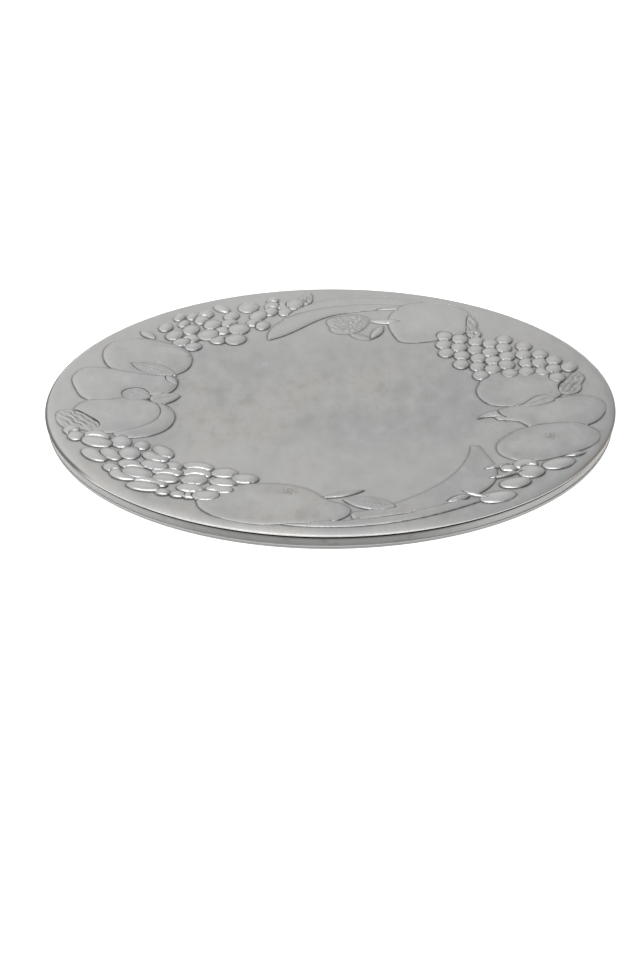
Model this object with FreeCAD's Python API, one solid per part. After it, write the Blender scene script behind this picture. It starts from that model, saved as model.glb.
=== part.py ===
import FreeCAD, Part

import math
import os

# A round serving plate of cast metal, with fruit in low relief round its border.
# Millimetres. Z is up and z = 0 is the table. X runs to the right and Y away from the
# diner's side. The origin is the middle of the ring that the plate stands on.
#
# The plate is a flat casting on a separate foot ring. Every fruit, bunch and leaf is a
# flat-backed ornament fixed face to face on the casting's flat top.

# Driving dimensions
PLATE_DIAMETER = 305.0
PLATE_HEIGHT = 10.0  # from the table to the flat top
DISC_THICKNESS = 3.5
RING_WIDTH = 8.0  # how thick the foot ring is, measured along a radius
FRUIT_HEIGHT = 1.5  # how far the large fruits stand above the flat top
GRAPE_HEIGHT = 1.9
LEAF_HEIGHT = 1.2
STEM_HEIGHT = 1.5
LEAF_ON_FRUIT_HEIGHT = 1.6  # a leaf that lies over a fruit
CROWN = 0.45  # the share of its height by which a crowned top falls towards its edge

# Worked out from the driving dimensions
PLATE_RADIUS = PLATE_DIAMETER / 2
DISC_BOTTOM = PLATE_HEIGHT - DISC_THICKNESS
DRAWN_RADIUS = 152.5  # the radius that the ornaments' places are drawn for
DRAWING_SCALE = PLATE_RADIUS / DRAWN_RADIUS

# The edge of the disc and the ring
EDGE_WIDTH = 5.5  # the top starts to fall away this far in from the edge
LIP_RADIUS = 0.45  # the rounded nose at the very edge
GROOVE_HEIGHT = 1.1  # the gap between the lip and the ring
GROOVE_DEPTH = 3.2
RING_INSET = 1.2  # how far the ring's wall stands inside the lip
RING_TAPER = 0.5  # how much further in the wall is at the table
RING_CORNER = 0.8
BEAD_HEIGHT = 2.0  # middle of the bead on the wall, above the table
BEAD_RADIUS = 0.35

SLIVER_AREA = 5.5  # a smaller scrap left beside a neighbour isn't a piece
COLUMN_HEIGHT = 2 * GRAPE_HEIGHT  # taller than every ornament
UP = FreeCAD.Vector(0, 0, 1)
HALFWAY = math.sqrt(0.5)  # how far round a quarter circle's middle is, across and up


# The plain shapes

def point(x, y, z=PLATE_HEIGHT):
    return FreeCAD.Vector(x * DRAWING_SCALE, y * DRAWING_SCALE, z)


def revolve(edges):
    face = Part.Face(Part.Wire(edges))
    return face.revolve(FreeCAD.Vector(0, 0, 0), UP, 360)


def line(start, end):
    return Part.LineSegment(FreeCAD.Vector(start[0], 0, start[1]),
                            FreeCAD.Vector(end[0], 0, end[1])).toShape()


def arc(start, middle, end):
    corners = [FreeCAD.Vector(x, 0, z) for x, z in (start, middle, end)]
    return Part.Arc(*corners).toShape()


def smooth_outline(places):
    """A closed smooth curve through a few places, as a face."""
    curve = Part.BSplineCurve()
    curve.interpolate([point(x, y) for x, y in places], PeriodicFlag=True)
    return Part.Face(Part.Wire(curve.toShape()))


def cornered_outline(*sides):
    """Smooth sides, each through a few places, that meet in corners, as a face."""
    edges = []
    for number, places in enumerate(sides):
        corner = sides[(number + 1) % len(sides)][0]
        curve = Part.BSplineCurve()
        curve.interpolate([point(x, y) for x, y in places + [corner]])
        edges.append(curve.toShape())
    return Part.Face(Part.Wire(edges))


def leaf_outline(base, tip, width):
    """A leaf's blade: two arcs from its base to its tip."""
    middle = ((base[0] + tip[0]) / 2, (base[1] + tip[1]) / 2)
    length = math.hypot(tip[0] - base[0], tip[1] - base[1])
    aside = ((tip[1] - base[1]) / length * width / 2, (base[0] - tip[0]) / length * width / 2)
    sides = []
    for side in (1, -1):
        bulge = point(middle[0] + side * aside[0], middle[1] + side * aside[1])
        sides.append(Part.Arc(point(*base), bulge, point(*tip)).toShape())
    return Part.Face(Part.Wire(sides))


def oval_outline(x, y, half_length, half_width, tilt):
    """An oval whose long axis is turned by tilt degrees from X, as a face."""
    curve = Part.Ellipse(point(0, 0), half_length * DRAWING_SCALE, half_width * DRAWING_SCALE)
    edge = curve.toShape()
    edge.rotate(point(0, 0), UP, tilt)
    edge.translate(point(x, y, 0))
    return Part.Face(Part.Wire(edge))


def crowned(face, height):
    """A flat-backed solid on the disc's top, highest in its middle."""
    box = face.BoundBox
    reach = box.DiagonalLength / 2
    drop = CROWN * height
    radius = (reach * reach + drop * drop) / (2 * drop)
    middle = FreeCAD.Vector(box.Center.x, box.Center.y, PLATE_HEIGHT + height - radius)
    return face.extrude(UP * height).common(Part.makeSphere(radius, middle))


# The plate itself

def plate_disc():
    """The flat casting, with a falling edge, a rounded lip and a step that leaves the groove.

    The edge is an arc that leaves the flat top smoothly and runs smoothly into the lip.
    """
    flat_radius = PLATE_RADIUS - EDGE_WIDTH
    groove_top = DISC_BOTTOM + GROOVE_HEIGHT
    lip = (PLATE_RADIUS - LIP_RADIUS, groove_top + LIP_RADIUS)
    across = lip[0] - flat_radius
    fall = PLATE_HEIGHT - (lip[1] + LIP_RADIUS)
    edge_radius = (across ** 2 + fall ** 2) / (2 * fall) + LIP_RADIUS
    slope = math.asin(across / (edge_radius - LIP_RADIUS))

    def on_edge(angle):
        return (flat_radius + edge_radius * math.sin(angle),
                PLATE_HEIGHT - edge_radius * (1 - math.cos(angle)))

    step = PLATE_RADIUS - GROOVE_DEPTH
    return revolve([
        line((0, DISC_BOTTOM), (step, DISC_BOTTOM)),
        line((step, DISC_BOTTOM), (step, groove_top)),
        line((step, groove_top), (lip[0], groove_top)),
        arc((lip[0], groove_top), (PLATE_RADIUS, lip[1]), on_edge(slope)),
        arc(on_edge(slope), on_edge(slope / 2), on_edge(0)),
        line(on_edge(0), (0, PLATE_HEIGHT)),
        line((0, PLATE_HEIGHT), (0, DISC_BOTTOM)),
    ])


def foot_ring():
    """The ring under the edge: a nearly upright wall with one fine bead round it."""
    top = PLATE_RADIUS - RING_INSET
    foot = top - RING_TAPER
    inside = top - RING_WIDTH
    chamfer = RING_CORNER / 2
    bead_middle = foot + RING_TAPER * BEAD_HEIGHT / DISC_BOTTOM
    low = BEAD_HEIGHT - BEAD_RADIUS
    high = BEAD_HEIGHT + BEAD_RADIUS
    corner_middle = (foot - RING_CORNER * (1 - HALFWAY), RING_CORNER * (1 - HALFWAY))
    return revolve([
        line((inside, 0), (foot - RING_CORNER, 0)),
        arc((foot - RING_CORNER, 0), corner_middle, (foot, RING_CORNER)),
        line((foot, RING_CORNER), (bead_middle, low)),
        arc((bead_middle, low), (bead_middle + BEAD_RADIUS, BEAD_HEIGHT), (bead_middle, high)),
        line((bead_middle, high), (top, DISC_BOTTOM - chamfer)),
        line((top, DISC_BOTTOM - chamfer), (top - chamfer, DISC_BOTTOM)),
        line((top - chamfer, DISC_BOTTOM), (inside, DISC_BOTTOM)),
        line((inside, DISC_BOTTOM), (inside, 0)),
    ])


# The ornaments. Each function gives the outlines of one node's pieces, uppermost first.

def ovals(groups):
    """Grapes in groups of one size and tilt: half length, half width, tilt and places."""
    return [oval_outline(x, y, half_length, half_width, tilt)
            for half_length, half_width, tilt, places in groups
            for x, y in places]


def front_left_grapes():
    return ovals([
        (9.0, 5.4, -28, [(-120.5, -54.5), (-97, -89.5)]),
        (7.2, 5.7, -72, [(-108, -54.5), (-102.5, -67.5)]),
        (7.0, 5.4, -4, [(-68, -97.5), (-42.5, -96.5), (-61.5, -114.5), (-53, -90)]),
        (8.4, 4.6, -55, [(-112, -68.5), (-85.5, -66)]),
        (5.4, 4.4, -75, [(-97, -59), (-132, -47.5), (-135, -40.5)]),
        (7.4, 4.4, -18, [(-82.5, -96), (-53.5, -100.5), (-55, -108), (-69.5, -106.5)]),
        (9.2, 4.5, -20, [(-93, -104.5), (-89.5, -100.5)]),
        (8.2, 4.8, -34, [(-89, -72), (-89, -81.5), (-104, -92), (-100.5, -81)]),
        (5.4, 4.0, -50, [(-79, -82.5), (-110.5, -83.5)]),
        (8.4, 4.6, -16, [(-82, -89), (-67, -90.5), (-66.5, -83)]),
        (9.6, 5.0, -50, [(-120.5, -69)]),
        (7.6, 5.2, -25, [(-121, -47.5)]),
        (4.0, 3.3, -25, [(-83, -110.5), (-75.5, -113), (-69.5, -114.5)]),
    ])


def rear_left_grapes():
    return ovals([
        (7.6, 6.2, 80, [(-69.5, 81.5), (-47.5, 120.5), (-52, 89.5), (-53.5, 75)]),
        (7.0, 5.0, 75, [(-88.5, 81), (-79.5, 88.5), (-67.5, 96), (-41.5, 108.5), (-20.5, 124.5)]),
        (5.6, 5.0, 60, [(-84, 71), (-77, 65), (-78.5, 76), (-61, 87), (-63, 74)]),
        (6.0, 4.2, 78, [(-94, 92), (-74, 102), (-34.5, 114), (-26, 114), (-38.5, 94), (-34, 122.5)]),
        (6.0, 4.6, 70, [(-72, 110), (-57, 108), (-58, 98), (-43.5, 98.5), (-26.5, 122.5)]),
        (5.2, 3.4, 75, [(-87, 106), (-84, 97), (-79.5, 107), (-33.5, 130)]),
        (6.4, 3.6, -48, [(-63, 118.5)]),
    ])


def rear_right_grapes():
    """Grapes in nine columns: the column's x, its top and the number in it."""
    columns = [(64.5, 78, 3), (73, 74, 4), (82, 70.5, 5), (90, 67, 4), (98, 73, 5),
               (108.3, 64, 4), (116.5, 53, 3), (123.5, 45, 3), (131, 36, 1)]
    pitch = 11.3
    half_height = 6.2
    half_width = 4.7
    tilt = 84
    sway = 0.5
    outlines = []
    for x, top, count in columns:
        for place in range(count):
            across = x + sway * (-1) ** place
            outlines.append(oval_outline(across, top - place * pitch, half_height, half_width, tilt))
    outlines.reverse()
    return outlines


def grape_stalks():
    return [
        cornered_outline([(-19, 127), (-17.5, 135)], [(-11, 142), (-10, 134), (-12, 126)]),
        smooth_outline([(77.5, 80), (78, 92), (81, 107), (84.5, 98), (84.5, 88), (86, 80), (81.5, 75)]),
    ]


def left_apple():
    return [smooth_outline([(-127, 59), (-125.5, 47), (-120, 36), (-106, 29), (-92, 25.5), (-81, 31),
                            (-76.5, 45), (-80, 60), (-94, 72), (-110, 77), (-122, 72)])]


def left_apple_leaf():
    return [
        leaf_outline((-110, 42), (-84, 26), 12),
        leaf_outline((-98, 65), (-78, 51), 9),
    ]


def left_apple_stem():
    return [leaf_outline((-108, 87), (-99, 76.5), 6)]


def left_pear():
    return [smooth_outline([(-137, 35.5), (-141, 23.5), (-138, 10.5), (-131, -2.5), (-118, -4.5),
                            (-107, -0.5), (-96, 2.5), (-87, 4.5), (-83, 13.5), (-85, 25.5), (-100, 28.5),
                            (-119, 35.5)])]


def left_pear_calyx():
    return [leaf_outline((-90, 26.5), (-83, 14.5), 5)]


def left_leaves():
    return [
        smooth_outline([(-112, 1.5), (-109.5, 8.5), (-103, 10), (-98, 4.5), (-96.5, -1.5), (-102, -5),
                        (-109, -3.5)]),
        cornered_outline([(-96, 1.5), (-96.5, -4.5), (-91, -10), (-85, -7)],
                         [(-80.5, 0.5), (-86, 3.5), (-91, 3)]),
    ]


def left_peach():
    """The near lobe lies over the far one, so their shared edge is the fruit's cleft."""
    return [
        smooth_outline([(-129.5, -4), (-111.5, -1), (-96.5, -5.5), (-90, -17.5), (-92.5, -31.5),
                        (-103.5, -41), (-117.5, -43.5), (-129.5, -37.5), (-136, -25.5), (-136, -13.5)]),
        cornered_outline([(-111.5, -1.5), (-93.5, -5.5), (-83.5, -17.5), (-82, -30.5), (-87, -42.5),
                          (-97.5, -49)],
                         [(-113.5, -45.5), (-103.5, -22.5)]),
    ]


def vine_leaf():
    return [smooth_outline([(-145, -22), (-141.5, -16), (-135, -17), (-129.5, -22), (-125, -27),
                            (-121, -37), (-126, -41), (-131, -39), (-137, -38.5), (-141.5, -34.5),
                            (-144, -29)])]


def front_pear():
    return [smooth_outline([(-66, -119), (-62, -130), (-50, -139), (-34, -144), (-14, -142.5), (2, -140.5),
                            (9.5, -133), (8, -125), (0, -119.5), (-8, -110), (-20, -103), (-36, -101),
                            (-52, -106)])]


def front_pear_leaves():
    return [
        leaf_outline((-4, -117), (17, -109), 5),
        cornered_outline([(6, -119), (11, -125), (21, -129.5)], [(32, -127.5), (27, -119.5), (18, -116)]),
    ]


def front_banana_inner():
    return [cornered_outline([(76.5, -60), (80.5, -72), (84, -88), (79, -106), (64, -120), (42, -131)],
                             [(11, -139.5), (11, -132)],
                             [(14, -131), (32, -122.5), (45, -112), (60, -94.5), (68.5, -77)],
                             [(72, -60.5)])]


def front_banana_outer():
    return [cornered_outline([(-24, -144), (0, -147), (22, -144.5), (46, -136.5)],
                             [(76, -119), (64, -120), (42, -131), (11, -139.5), (-6, -142)])]


def nuts():
    return [
        oval_outline(101, -89.5, 7.4, 6.2, 40),
        oval_outline(98.5, -81.5, 6.6, 5.4, 20),
        oval_outline(115.5, -80.5, 9.4, 5.6, 28),
        oval_outline(92, -101.5, 8.6, 5.4, 25),
        oval_outline(82.5, -116.5, 9.8, 5.6, 24),
        oval_outline(90, -86, 4.6, 3.6, 10),
    ]


def nut_stems():
    return [
        leaf_outline((77.5, -87.5), (90.5, -80.5), 3.2),
        leaf_outline((79.5, -97.5), (97, -88.5), 3.2),
        leaf_outline((65, -111), (77, -117), 3.2),
        leaf_outline((57, -122), (69, -114.5), 5),
        leaf_outline((119, -73), (131, -68), 3.4),
    ]


def right_apple():
    return [smooth_outline([(104, -38.5), (119, -35), (133, -36), (139.5, -44), (138, -56), (128, -66),
                            (109, -76), (96, -77), (87, -71), (85, -62), (89, -52)])]


def right_pear():
    return [smooth_outline([(86.5, -27), (88.5, -18.5), (98, -13), (110, -9), (124, -2.5), (138, -0.5),
                            (146, -9), (145, -22), (136.5, -35), (120, -40), (104, -38.5), (97, -31)])]


def right_pear_stem():
    return [cornered_outline([(77.5, -29), (81, -23)], [(89, -18.5), (89.5, -23)],
                             [(93, -28), (84, -26.5)])]


def right_blossom():
    return [smooth_outline([(101, -14), (106, -8), (112, -2), (118.5, -1.5), (120, -7), (114, -12.5),
                            (107, -15)])]


def right_rear_apple():
    return [smooth_outline([(79.5, 10), (80, -3), (85.5, -11.5), (98.5, -13), (111.5, -8), (122.5, -2),
                            (126, 10), (121.5, 25.5), (108.5, 31.5), (94.5, 30.5), (84.5, 23.5)])]


def curled_leaf():
    return [smooth_outline([(123.5, 4), (124.5, 14), (130, 23), (135, 30), (138.5, 25), (136.5, 14),
                            (135, 6), (129, 1.5)])]


def rear_pomegranate():
    return [smooth_outline([(38.5, 73), (34.5, 87), (33.5, 100), (37, 114), (46.5, 124), (59.5, 127.5),
                            (72.5, 123), (80.5, 111), (81.5, 95), (75.5, 81), (63.5, 74), (49.5, 70)])]


def pomegranate_crown():
    return [
        leaf_outline((22.5, 100), (40.5, 99), 6),
        leaf_outline((30.5, 94), (23.5, 75), 6),
    ]


def rear_blossom():
    return [smooth_outline([(-1, 95), (1.5, 106), (8, 108.5), (16, 110), (22, 105), (21, 94), (15.5, 85),
                            (7.5, 82), (1, 86)])]


def rear_leaf():
    return [leaf_outline((11, 83), (23, 74), 6)]


def rear_banana_inner():
    return [cornered_outline([(-35, 74), (-32.5, 93), (-22, 107), (-4, 118), (18, 123.5)],
                             [(42, 122), (20, 115.5), (2, 109), (-12, 96), (-24, 82)])]


def rear_banana_outer():
    return [cornered_outline([(-28, 99), (-18, 119), (-2, 132), (20, 137.5), (42, 134)],
                             [(58, 125), (38, 117), (14, 117), (-8, 110)])]


# Every ornament's node, its height and its outlines, with the uppermost first.
ORNAMENTS = [
    ("front_left_grapes", GRAPE_HEIGHT, front_left_grapes),
    ("rear_left_grapes", GRAPE_HEIGHT, rear_left_grapes),
    ("rear_right_grapes", GRAPE_HEIGHT, rear_right_grapes),
    ("grape_stalks", STEM_HEIGHT, grape_stalks),
    ("left_apple_leaf", LEAF_ON_FRUIT_HEIGHT, left_apple_leaf),
    ("left_apple_stem", STEM_HEIGHT, left_apple_stem),
    ("left_pear_calyx", STEM_HEIGHT, left_pear_calyx),
    ("left_leaves", LEAF_HEIGHT, left_leaves),
    ("vine_leaf", LEAF_HEIGHT, vine_leaf),
    ("nut_stems", STEM_HEIGHT, nut_stems),
    ("nuts", GRAPE_HEIGHT, nuts),
    ("right_pear_stem", STEM_HEIGHT, right_pear_stem),
    ("right_blossom", STEM_HEIGHT, right_blossom),
    ("curled_leaf", LEAF_HEIGHT, curled_leaf),
    ("pomegranate_crown", STEM_HEIGHT, pomegranate_crown),
    ("rear_blossom", LEAF_HEIGHT, rear_blossom),
    ("rear_leaf", LEAF_HEIGHT, rear_leaf),
    ("front_pear_leaves", LEAF_HEIGHT, front_pear_leaves),
    ("left_apple", FRUIT_HEIGHT, left_apple),
    ("right_apple", FRUIT_HEIGHT, right_apple),
    ("right_pear", FRUIT_HEIGHT, right_pear),
    ("right_rear_apple", FRUIT_HEIGHT, right_rear_apple),
    ("rear_pomegranate", FRUIT_HEIGHT, rear_pomegranate),
    ("left_pear", FRUIT_HEIGHT, left_pear),
    ("left_peach", FRUIT_HEIGHT, left_peach),
    ("front_pear", FRUIT_HEIGHT, front_pear),
    ("front_banana_inner", FRUIT_HEIGHT, front_banana_inner),
    ("front_banana_outer", FRUIT_HEIGHT, front_banana_outer),
    ("rear_banana_inner", FRUIT_HEIGHT, rear_banana_inner),
    ("rear_banana_outer", FRUIT_HEIGHT, rear_banana_outer),
]


def touches(first, second):
    return first.BoundBox.intersect(second.BoundBox)


def trimmed(solid, height, columns):
    """The solid less the space of every ornament that lies over it, scraps left out."""
    over = [column for column in columns if touches(solid, column)]
    shape = solid.cut(over) if over else solid
    return [piece for piece in shape.Solids if piece.Volume > SLIVER_AREA * height]


def ornaments():
    """Each ornament gives way to those above it, so neighbours meet face to face."""
    columns = []
    nodes = {}
    for name, height, outlines in ORNAMENTS:
        pieces = []
        for face in outlines():
            pieces += trimmed(crowned(face, height), height, columns)
            columns.append(face.extrude(UP * COLUMN_HEIGHT))
        nodes[name] = Part.makeCompound(pieces)
    return nodes


def main():
    os.makedirs("parts", exist_ok=True)
    nodes = {"plate_disc": plate_disc(), "foot_ring": foot_ring()}
    nodes.update(ornaments())
    for name, shape in nodes.items():
        solids = len(shape.Solids)
        print(name, solids, round(shape.Volume), shape.isValid())
        shape.exportStep(os.path.join("parts", name + ".step"))


main()
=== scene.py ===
import math
from collections import namedtuple

import bmesh
import bpy
import numpy as np
from mathutils import Euler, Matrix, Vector
from mathutils.geometry import delaunay_2d_cdt
from mathutils.kdtree import KDTree


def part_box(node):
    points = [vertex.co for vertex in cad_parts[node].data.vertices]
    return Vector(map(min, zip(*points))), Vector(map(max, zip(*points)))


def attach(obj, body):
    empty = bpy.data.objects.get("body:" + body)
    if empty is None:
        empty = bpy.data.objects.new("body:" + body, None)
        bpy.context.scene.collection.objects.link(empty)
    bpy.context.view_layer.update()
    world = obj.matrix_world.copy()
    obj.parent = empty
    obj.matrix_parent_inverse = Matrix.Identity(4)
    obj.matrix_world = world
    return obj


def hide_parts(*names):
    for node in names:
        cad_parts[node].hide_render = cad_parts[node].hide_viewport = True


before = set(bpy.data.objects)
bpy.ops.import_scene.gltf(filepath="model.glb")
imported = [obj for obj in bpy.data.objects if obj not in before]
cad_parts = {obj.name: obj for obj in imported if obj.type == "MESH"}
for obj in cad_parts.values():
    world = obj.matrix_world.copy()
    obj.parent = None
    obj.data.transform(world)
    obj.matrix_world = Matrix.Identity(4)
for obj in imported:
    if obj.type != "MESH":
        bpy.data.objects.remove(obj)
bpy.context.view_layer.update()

# A round cast-metal plate with fruit in low relief round its border, on a turned foot ring.
# Every relief piece is grown from the outline of its CAD solid's flat back, so it stands
# exactly where the CAD model has it. Lengths are metres.

MM = 0.001

# Measured from the frame
FLAT_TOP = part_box("plate_disc")[1].z
PLATE_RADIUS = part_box("plate_disc")[1].x
DISC_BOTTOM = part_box("plate_disc")[0].z
RING_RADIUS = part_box("foot_ring")[1].x
RING_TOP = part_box("foot_ring")[1].z
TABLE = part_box("foot_ring")[0].z

# The disc's edge and the ring, as the CAD model has them
EDGE_WIDTH = 5.5 * MM
LIP_RADIUS = 0.45 * MM
GROOVE_HEIGHT = 1.1 * MM
GROOVE_DEPTH = 3.2 * MM
RING_WIDTH = 8.0 * MM
RING_TAPER = 0.5 * MM
RING_CORNER = 0.8 * MM
BEAD_HEIGHT = 2.0 * MM
BEAD_RADIUS = 0.35 * MM
FLAT_RADIUS = PLATE_RADIUS - EDGE_WIDTH
STEP_RADIUS = PLATE_RADIUS - GROOVE_DEPTH
GROOVE_TOP = DISC_BOTTOM + GROOVE_HEIGHT

# The ring's finer shape, which the CAD model leaves out
RING_CHAMFER = 0.3 * MM
RING_SHOULDER = 0.4 * MM
TURNINGS = 8  # heights on the ring's wall, every other one of them cut in
TURNING_PITCH = 0.42 * MM
TURNING_CUT = 0.02 * MM

# How fine the meshes are
TURNED_SEGMENTS = 720
OUTLINE_SPACING = 0.5 * MM
FINE_SPACING = 0.1 * MM  # an outline's corners are looked for at this spacing
CORNER_REACH = 4  # over this many fine points each way
CORNER_TURN = math.radians(35)
SHARP_EDGE = math.radians(60)
CHUNK = 1500  # how many points are measured against an outline at once
ONLY_INSIDE = 1  # asks delaunay_2d_cdt for the triangles inside the border
MERGE_DISTANCE = 1e-9
TINY = 1e-18  # stands for nothing where a number is divided by
INNER_RINGS = [0.06 * MM, 0.16 * MM, 0.32 * MM, 0.58 * MM, 0.95 * MM]  # inside a piece's outline
OUTER_RINGS = [0.0, 0.25 * MM, 0.55 * MM, 1.0 * MM]  # outside it, on the flat
OUTER_SPACING = 0.7 * MM
CLOSEST = 0.2 * MM  # points on the flat closer than this are thinned out
SPARSE_RADIUS = 72 * MM  # nothing lies on the flat inside this radius
SPARSE_SPACING = 3.0 * MM
FLAT_SPACING = 1.8 * MM
CIRCLE_CLEARANCE = 0.3 * MM  # kept free inside the flat's round border
CALM_WIDTH = 4 * MM  # the flat is less uneven this close to its border
GAP_SPACING = 0.3 * MM
UNDERSIDE_RINGS = (0.97, 0.8, 0.6, 0.4, 0.2, 0.04)  # as shares of the underside's radius

# How the relief meets the flat
ON_BORDER = 1e-9  # a point no deeper than this inside a piece is on its border
NEAR_BORDER = 0.5 * MM  # no ridge is smoothed this close to a border
SKIRT = 0.25 * MM  # how far each piece reaches down into the casting
SINK = 0.03 * MM  # how far the uneven flat lies under the pieces' backs
UNDERLAP = 0.3 * MM  # further in under a piece than this the flat has no points of its own
GROOVE_ROUND_PIECES = 0.13 * MM
GROOVE_WIDTH = 0.35 * MM
TOUCH = 0.2 * MM  # outlines this close belong to neighbours that meet
TOUCH_SPACING = 0.15 * MM
SEAM_CUT = 0.16 * MM  # the fine groove along a border that two pieces share
SEAM_WIDTH = 0.3 * MM
SMOOTHING_ROUNDS = 6  # how often a piece's ridge is smoothed
CROWN_SMOOTHING_ROUNDS = 40
WAVE_TRAINS = 7  # how many waves cross to make a surface uneven

# Where the dark patina and painted shade lie
DARK_WIDTH = 0.5 * MM  # along a piece's border
DARK_SHARE = 0.22  # and at most this share of the way in to the piece's middle
DARK_ON_FLAT = 0.75 * MM  # on the flat, along a piece's border
HOLLOW_ROUNDS = 10  # where a piece is lower than when smoothed this often
HOLLOW_START = 0.02 * MM
HOLLOW_END = 0.10 * MM


# Outlines

def signed_area(outline):
    x, y = outline.T
    return 0.5 * np.sum(x * np.roll(y, -1) - y * np.roll(x, -1))


def open_borders(faces):
    """The vertices round each open border of a patch of faces, in order."""
    sides = {pair for face in faces for pair in zip(face, face[1:] + face[:1])}
    following = {start: end for start, end in sides if (end, start) not in sides}
    loops = []
    while following:
        first = min(following)
        loop = [first]
        here = following.pop(first)
        while here != first:
            loop.append(here)
            here = following.pop(here)
        loops.append(loop)
    return loops


def flat_backs(node):
    """The outline of the flat back of each solid in a node, anticlockwise from above."""
    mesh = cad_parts[node].data
    places = np.array([v.co for v in mesh.vertices])
    above_back = places[:, 2] - places[:, 2].min()
    faces = [tuple(face.vertices) for face in mesh.polygons]
    back = [face for face in faces if above_back[list(face)].max() < 0.0001 * MM]
    outlines = [places[loop, :2] for loop in open_borders(back)]
    return [outline if signed_area(outline) > 0 else outline[::-1] for outline in outlines]


def closed(outline):
    """The outline with its first point again at its end."""
    return np.concatenate([outline, outline[:1]])


def points_along(run, spacing):
    """Points at nearly equal spacing from a run's start up to, but not at, its end."""
    lengths = np.concatenate([[0], np.cumsum(np.hypot(*np.diff(run, axis=0).T))])
    parts = max(1, int(round(lengths[-1] / spacing)))
    at = np.linspace(0, lengths[-1], parts + 1)[:-1]
    return np.stack([np.interp(at, lengths, run[:, 0]), np.interp(at, lengths, run[:, 1])], axis=1)


def corner_places(outline, reach):
    """The numbers of the points where an evenly spaced outline turns sharply."""
    before = outline - np.roll(outline, reach, axis=0)
    after = np.roll(outline, -reach, axis=0) - outline
    turn = np.abs(np.arctan2(before[:, 0] * after[:, 1] - before[:, 1] * after[:, 0],
                             (before * after).sum(axis=1)))
    nearby = np.max([np.roll(turn, shift) for shift in range(-reach, reach + 1)], axis=0)
    return np.flatnonzero((turn > CORNER_TURN) & (turn == nearby))


def evenly_spaced(outline, spacing):
    """The outline with points at nearly equal spacing, its sharp corners kept."""
    fine = points_along(closed(outline), FINE_SPACING)
    corners = corner_places(fine, CORNER_REACH)
    if len(corners) == 0:
        corners = np.array([0])
    runs = []
    for start, end in zip(corners, np.roll(corners, -1)):
        steps = (end - start) % len(fine) or len(fine)
        run = fine[(start + np.arange(steps + 1)) % len(fine)]
        runs.append(points_along(run, spacing))
    return np.concatenate(runs)


def inward_normals(outline):
    along = np.roll(outline, -1, axis=0) - np.roll(outline, 1, axis=0)
    along /= np.maximum(np.hypot(*along.T), 1e-12)[:, None]
    return np.stack([-along[:, 1], along[:, 0]], axis=1)


def distance_to(outline, points, chosen=slice(None)):
    """How far each point is from a closed outline, or from its chosen sides only."""
    start = outline[chosen]
    if len(start) == 0:
        return np.full(len(points), math.inf)
    step = (np.roll(outline, -1, axis=0) - outline)[chosen]
    square = np.maximum((step * step).sum(axis=1), TINY)
    found = []
    for first in range(0, len(points), CHUNK):
        gap = points[first:first + CHUNK, None, :] - start[None]
        share = np.clip((gap * step).sum(axis=2) / square, 0, 1)
        gap -= share[..., None] * step
        found.append(np.sqrt((gap * gap).sum(axis=2).min(axis=1)))
    return np.concatenate(found) if found else np.zeros(0)


def inside(outline, points):
    """Which points lie inside a closed outline, by counting how often a line out crosses it."""
    end = np.roll(outline, -1, axis=0)
    rise = end[:, 1] - outline[:, 1]
    rise[rise == 0] = TINY
    found = []
    for first in range(0, len(points), CHUNK):
        x = points[first:first + CHUNK, 0][:, None]
        y = points[first:first + CHUNK, 1][:, None]
        spans = (outline[:, 1] > y) != (end[:, 1] > y)
        crossing = outline[:, 0] + (y - outline[:, 1]) / rise * (end - outline)[:, 0]
        found.append((spans & (x < crossing)).sum(axis=1) % 2 == 1)
    return np.concatenate(found) if found else np.zeros(0, bool)


def staggered_grid(low, high, spacing):
    """Points in staggered rows over a rectangle."""
    rows = np.arange(low[1], high[1], spacing * math.sqrt(0.75))
    columns = np.arange(low[0], high[0], spacing)
    x, y = np.meshgrid(columns, rows)
    x[1::2] += spacing / 2
    return np.stack([x.ravel(), y.ravel()], axis=1)


def triangulated(points, border_count):
    """Triangles over points, the first of which are the border, in order."""
    border = [(i, (i + 1) % border_count) for i in range(border_count)]
    places = [Vector(point) for point in points.tolist()]
    flat, _, faces, *_ = delaunay_2d_cdt(places, border, [], ONLY_INSIDE, MERGE_DISTANCE)
    return np.array([tuple(point) for point in flat]), [tuple(face) for face in faces]


def tree_of(points):
    """A search tree of points on the flat."""
    tree = KDTree(len(points))
    for number, (x, y) in enumerate(points.tolist()):
        tree.insert((x, y, 0), number)
    tree.balance()
    return tree


# Uneven surfaces

def smooth_step(value, low, high):
    share = np.clip((value - low) / (high - low), 0, 1)
    return share * share * (3 - 2 * share)


def rounded(share):
    """Rises from 0 to 1 with its argument, ever less steeply."""
    return 1 - (1 - share) ** 2


def notch(distance, width):
    """1 at no distance, and soon 0 beyond the width."""
    return np.exp(-(distance / width) ** 2)


def relaxed(values, faces, held, rounds):
    """The values smoothed over a mesh, except where they are held."""
    sides = np.array([pair for face in faces for pair in zip(face, face[1:] + face[:1])])
    count = np.bincount(sides[:, 0], minlength=len(values))
    values = values.copy()
    for _ in range(rounds):
        around = np.bincount(sides[:, 0], values[sides[:, 1]], len(values)) / np.maximum(count, 1)
        values[~held] = around[~held]
    return values


def waves(points, size, seed):
    """A smooth, uneven value between about -1 and 1, with bumps of about the given size."""
    draw = np.random.default_rng(seed)
    total = np.zeros(len(points))
    for _ in range(WAVE_TRAINS):
        angle = draw.uniform(0, math.pi)
        length = size * draw.uniform(0.7, 1.6)
        phase = draw.uniform(0, 2 * math.pi)
        along = points[:, 0] * math.cos(angle) + points[:, 1] * math.sin(angle)
        total += np.sin(2 * math.pi * along / length + phase)
    return total / (1.5 * math.sqrt(WAVE_TRAINS))


# The ornaments' forms. Each gives the height of a piece's points as a share of its full
# height. Its place says how far each point lies inside the outline.

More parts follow.
